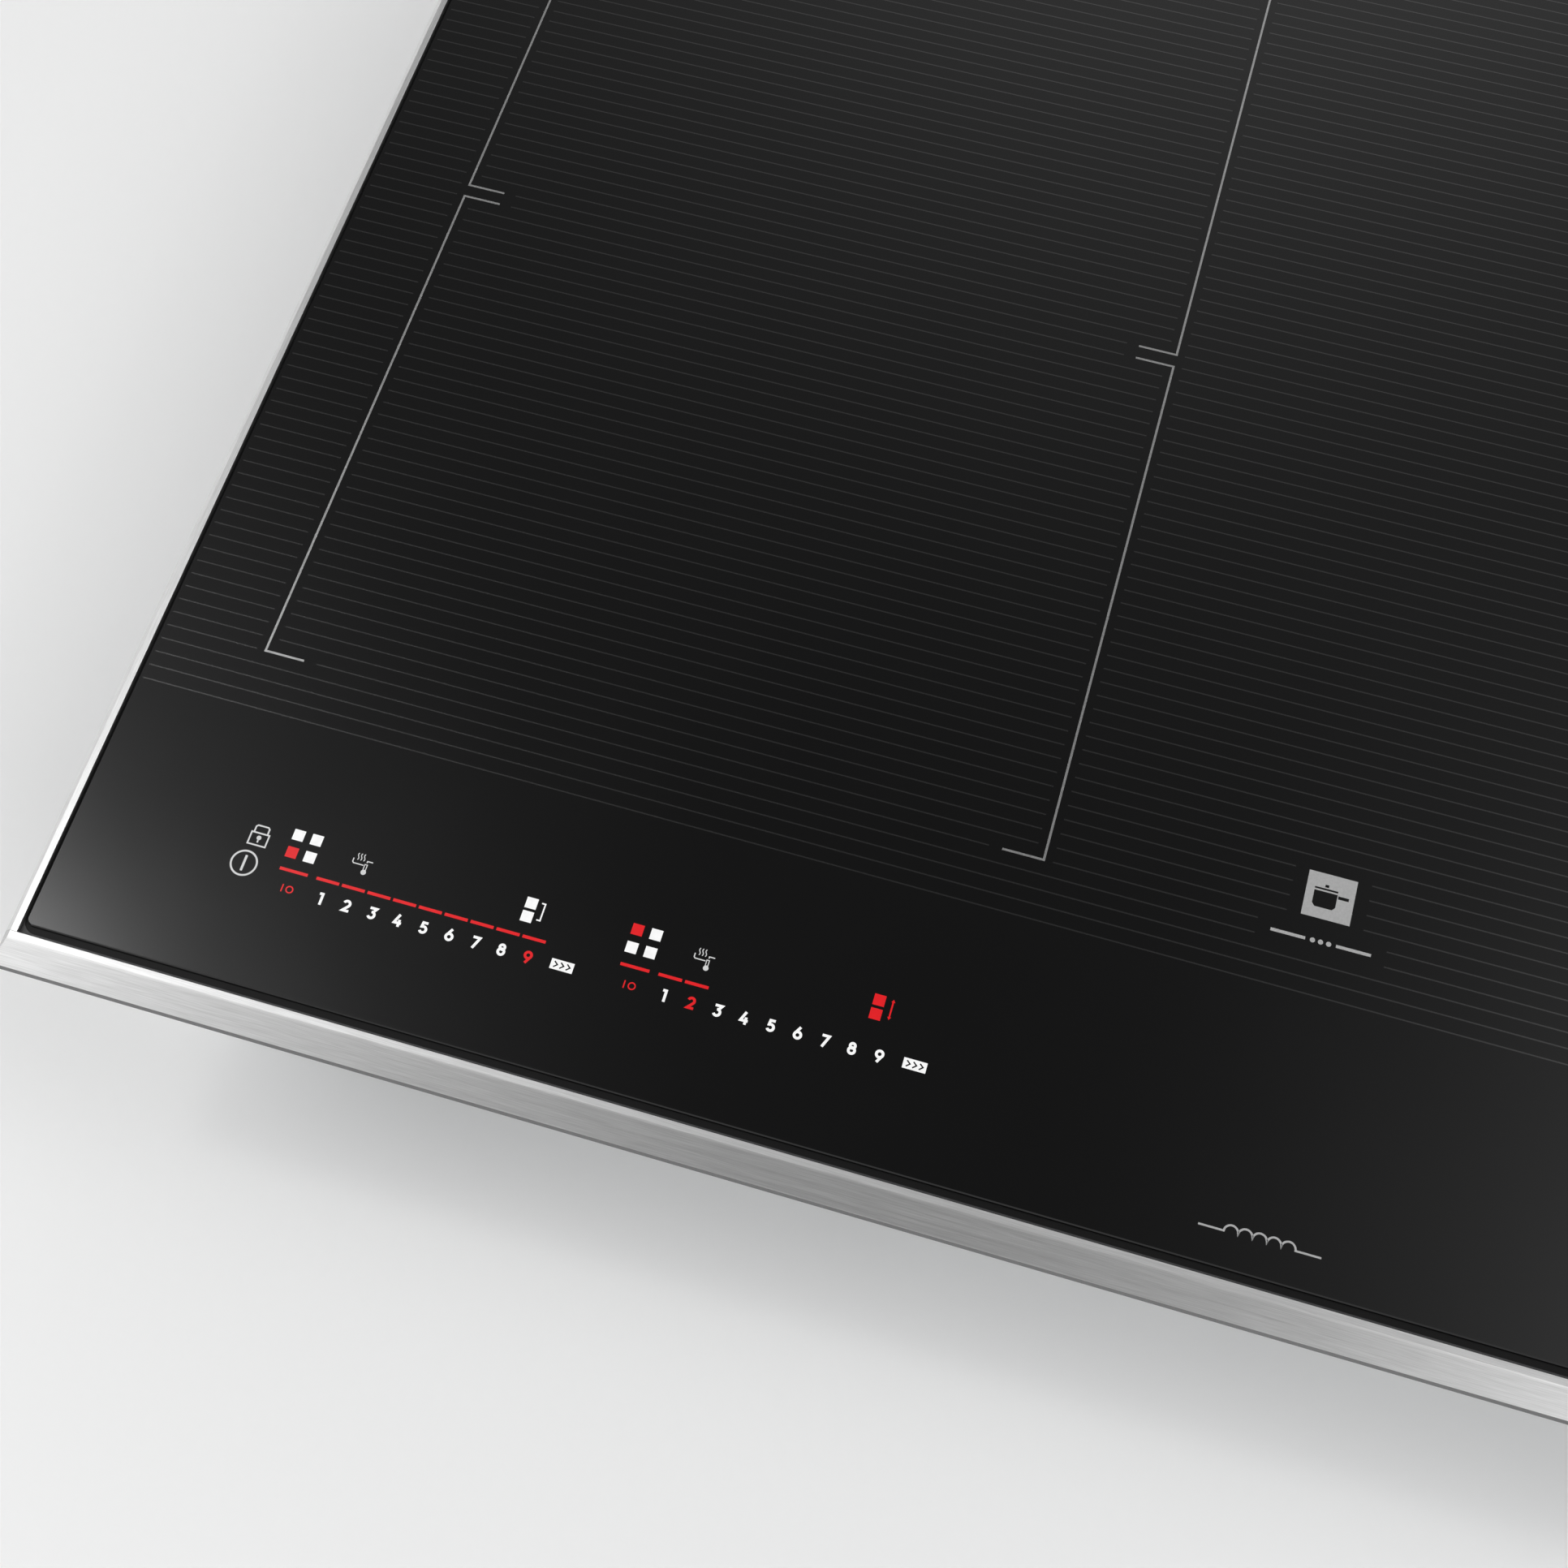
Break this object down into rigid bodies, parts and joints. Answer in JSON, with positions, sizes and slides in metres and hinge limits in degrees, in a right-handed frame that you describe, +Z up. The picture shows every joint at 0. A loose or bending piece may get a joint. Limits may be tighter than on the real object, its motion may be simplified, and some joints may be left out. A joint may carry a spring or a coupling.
{
  "type": "induction cooktop",
  "caption": "Built-in electric induction cooktop: black glass top in a brushed steel surround over a shallow steel burner box with floating coils, inverters and fans.",
  "frame": {"origin": "centre of the cooktop's outline, on the countertop plane, which is the underside of the foam seal round its edge", "axes": "+X to the cook's right, -Y towards the cook, +Z up out of the countertop"},
  "size_m": [0.778, 0.543, 0.1004],
  "materials": {
    "black_glass": "polished glass ceramic, opaque black",
    "black_silicone": "smooth cured silicone",
    "frame_plastic": "glass-filled moulding",
    "seal_foam": "closed-cell foam",
    "steel_trim": "brushed along its length",
    "galvanised_steel": "galvanised, faint spangle",
    "zinc_steel": "zinc plated",
    "black_plastic": "moulded, fine texture",
    "white_plastic": "moulded, satin",
    "clear_plastic": "clear moulded light guide",
    "circuit_board": "green solder mask",
    "components": "mixed component cases",
    "aluminium_sheet": "mill finish",
    "ferrite": "sintered ferrite",
    "mica": "pressed mica sheet",
    "copper": "enamelled litz wire",
    "lead_sleeve": "woven glass sleeve",
    "ribbon_grey": "flat ribbon insulation",
    "pattern_print": "dark grey fired enamel, the line pattern on the glass",
    "zone_print": "light grey fired enamel, brackets and emblem on the glass",
    "key_white": "white lamp behind the glass",
    "key_grey": "dimmed white lamp behind the glass",
    "lamp_red": "red lamp behind the glass"
  },
  "bodies": {
    "root": {"burner_box": "galvanised_steel", "clamp_bracket_left": "zinc_steel", "clamp_bracket_right": "zinc_steel", "coil_leads": "lead_sleeve", "coil_plate_left": "aluminium_sheet", "coil_plate_right": "aluminium_sheet", "coil_springs_front_left": "zinc_steel", "coil_springs_front_right": "zinc_steel", "coil_springs_rear_left": "zinc_steel", "coil_springs_rear_right": "zinc_steel", "control_board": "circuit_board", "control_light_guides": "clear_plastic", "control_tray": "black_plastic", "counter_seal": "seal_foam", "fan_housing_left": "black_plastic", "fan_housing_right": "black_plastic", "filter_board": "circuit_board", "filter_parts": "components", "glass_bond_seal": "black_silicone", "glass_frame": "frame_plastic", "glass_top": "black_glass", "heatsink_left": "aluminium_sheet", "heatsink_right": "aluminium_sheet", "inverter_board_left": "circuit_board", "inverter_board_right": "circuit_board", "inverter_parts_left": "components", "inverter_parts_right": "components", "junction_cover": "galvanised_steel", "module_tray_left": "black_plastic", "module_tray_right": "black_plastic", "ribbon_cable": "ribbon_grey", "screws": "zinc_steel", "supply_bushing": "black_plastic", "temperature_sensors": "white_plastic", "terminal_block": "white_plastic", "touch_contact_pads": "seal_foam", "trim_front": "steel_trim", "trim_left": "steel_trim", "trim_rear": "steel_trim", "trim_right": "steel_trim"},
    "coil_front_left": {"coil_carrier_front_left": "aluminium_sheet", "coil_ferrites_front_left": "ferrite", "coil_winding_front_left": "copper", "coil_insulator_front_left": "mica"},
    "coil_rear_left": {"coil_carrier_rear_left": "aluminium_sheet", "coil_ferrites_rear_left": "ferrite", "coil_winding_rear_left": "copper", "coil_insulator_rear_left": "mica"},
    "coil_front_right": {"coil_carrier_front_right": "aluminium_sheet", "coil_ferrites_front_right": "ferrite", "coil_winding_front_right": "copper", "coil_insulator_front_right": "mica"},
    "coil_rear_right": {"coil_carrier_rear_right": "aluminium_sheet", "coil_ferrites_rear_right": "ferrite", "coil_winding_rear_right": "copper", "coil_insulator_rear_right": "mica"},
    "fan_left": {"fan_rotor_left": "black_plastic"},
    "clamp_left": {"clamp_screw_left": "zinc_steel"},
    "fan_right": {"fan_rotor_right": "black_plastic"},
    "clamp_right": {"clamp_screw_right": "zinc_steel"}
  },
  "joints": [
    {"name": "coil_float_front_left", "type": "slide", "parent": "root", "child": "coil_front_left", "axis": [0, 0, 1], "range_m": [-0.004, 0], "stiffness_N_per_m": 7200, "springref_m": 0.003, "deforming": ["coil_springs_front_left"]},
    {"name": "coil_float_rear_left", "type": "slide", "parent": "root", "child": "coil_rear_left", "axis": [0, 0, 1], "range_m": [-0.004, 0], "stiffness_N_per_m": 7200, "springref_m": 0.003, "deforming": ["coil_springs_rear_left"]},
    {"name": "coil_float_front_right", "type": "slide", "parent": "root", "child": "coil_front_right", "axis": [0, 0, 1], "range_m": [-0.004, 0], "stiffness_N_per_m": 7200, "springref_m": 0.003, "deforming": ["coil_springs_front_right"]},
    {"name": "coil_float_rear_right", "type": "slide", "parent": "root", "child": "coil_rear_right", "axis": [0, 0, 1], "range_m": [-0.004, 0], "stiffness_N_per_m": 7200, "springref_m": 0.003, "deforming": ["coil_springs_rear_right"]},
    {"name": "fan_spin_left", "type": "hinge", "parent": "root", "child": "fan_left", "pos_m": [-0.2175, -0.095, -0.075], "axis": [0, 0, 1], "continuous": true},
    {"name": "fan_spin_right", "type": "hinge", "parent": "root", "child": "fan_right", "pos_m": [0.2175, -0.095, -0.075], "axis": [0, 0, 1], "continuous": true},
    {"name": "clamp_travel_left", "type": "slide", "parent": "root", "child": "clamp_left", "axis": [0, 0, 1], "range_m": [0, 0.019]},
    {"name": "clamp_travel_right", "type": "slide", "parent": "root", "child": "clamp_right", "axis": [0, 0, 1], "range_m": [0, 0.019]}
  ]
}
